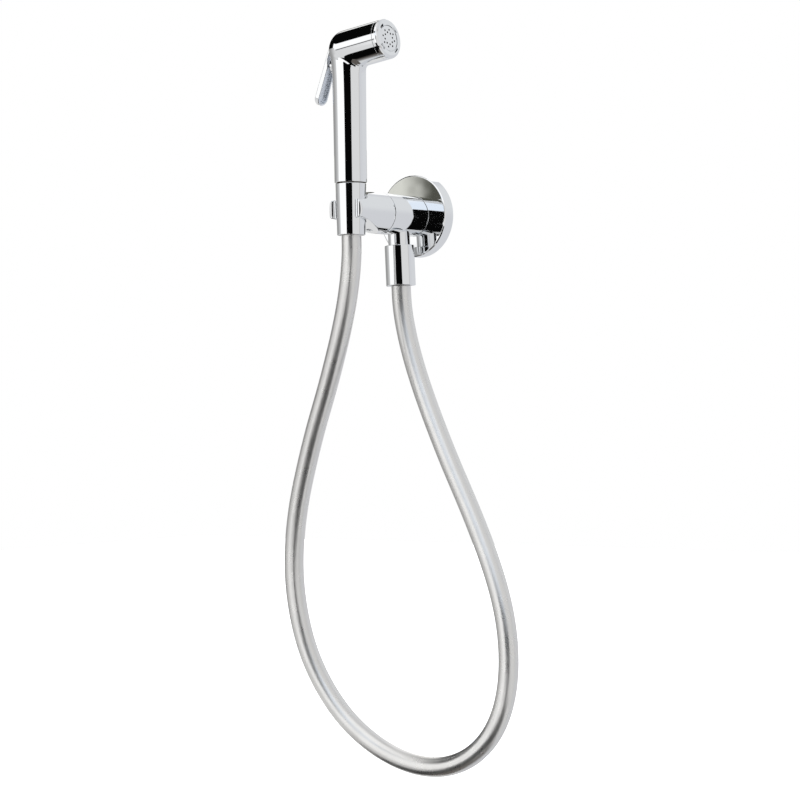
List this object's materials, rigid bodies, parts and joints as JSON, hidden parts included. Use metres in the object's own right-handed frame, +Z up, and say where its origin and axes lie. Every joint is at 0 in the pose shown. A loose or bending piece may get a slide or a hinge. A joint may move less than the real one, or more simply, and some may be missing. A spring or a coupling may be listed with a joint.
{
  "type": "trigger spray set",
  "caption": "Wall-hung bath spray set: a round wall outlet with a forked arm that holds a chrome hand spray with a squeeze lever, and a smooth silver hose looping from outlet to spray.",
  "frame": {"origin": "middle of the wall outlet on the wall plane, on the arm's axis", "axes": "+Y into the wall, +Z up, the arm points along -Y into the room and the spray head along +X"},
  "size_m": [0.2002, 0.1198, 0.5678],
  "materials": {
    "chrome": "polished chrome plating",
    "brass": "bare turned brass",
    "steel": "plain stainless steel",
    "rubber": "matt black rubber",
    "white_plastic": "moulded white plastic",
    "silver_hose": "smooth satin silver plastic"
  },
  "bodies": {
    "wall_outlet": {"wall_flange": "chrome", "flange_gasket": "rubber", "elbow_body": "chrome", "inlet_nipple": "brass", "inlet_washer": "rubber", "inlet_strainer": "steel", "holder_fork": "chrome", "holder_screw": "steel", "check_valve_body": "white_plastic", "check_valve_spring": "steel", "outlet_nut": "chrome", "outlet_washer": "rubber", "outlet_ferrule": "steel", "hose": "silver_hose"},
    "hose_end": {"handset_ferrule": "steel"},
    "handset": {"handset_cone": "chrome", "handset_washer": "rubber", "handset_tail": "brass", "tail_oring": "rubber", "handset_body": "chrome", "valve_seat": "white_plastic", "stem_gland": "brass", "stem_oring": "rubber", "valve_spring": "steel", "lever_pin": "steel", "flow_plate": "white_plastic", "face_seal": "rubber", "spray_face": "chrome", "face_ring": "chrome"},
    "trigger": {"trigger_lever": "chrome"},
    "valve": {"valve_stem": "brass", "poppet_washer": "rubber"},
    "check_poppet": {"check_valve_poppet": "white_plastic"}
  },
  "joints": [
    {"name": "handset_lift", "type": "slide", "parent": "wall_outlet", "child": "hose_end", "axis": [0, 0, 1], "range_m": [0, 0.045]},
    {"name": "handset_swivel", "type": "hinge", "parent": "hose_end", "child": "handset", "pos_m": [0, -0.0865, 0], "axis": [0, 0, 1], "continuous": true},
    {"name": "trigger_press", "type": "hinge", "parent": "handset", "child": "trigger", "pos_m": [-0.0115, -0.0865, 0.1215], "axis": [0, -1, 0], "range_deg": [0, 12], "stiffness_Nm_per_rad": 0.13, "springref_deg": -8.59, "deforming": ["valve_spring"]},
    {"name": "valve_slide", "type": "slide", "parent": "handset", "child": "valve", "axis": [1, 0, 0], "range_m": [0, 0.0027]},
    {"name": "check_valve_slide", "type": "slide", "parent": "wall_outlet", "child": "check_poppet", "axis": [0.0384, 0, -0.9993], "range_m": [0, 0.003], "stiffness_N_per_m": 60, "springref_m": -0.003, "deforming": ["check_valve_spring"]}
  ],
  "couplings": [
    {"joint": "valve_slide", "follows": "trigger_press", "m_per_rad": 0.0128}
  ]
}
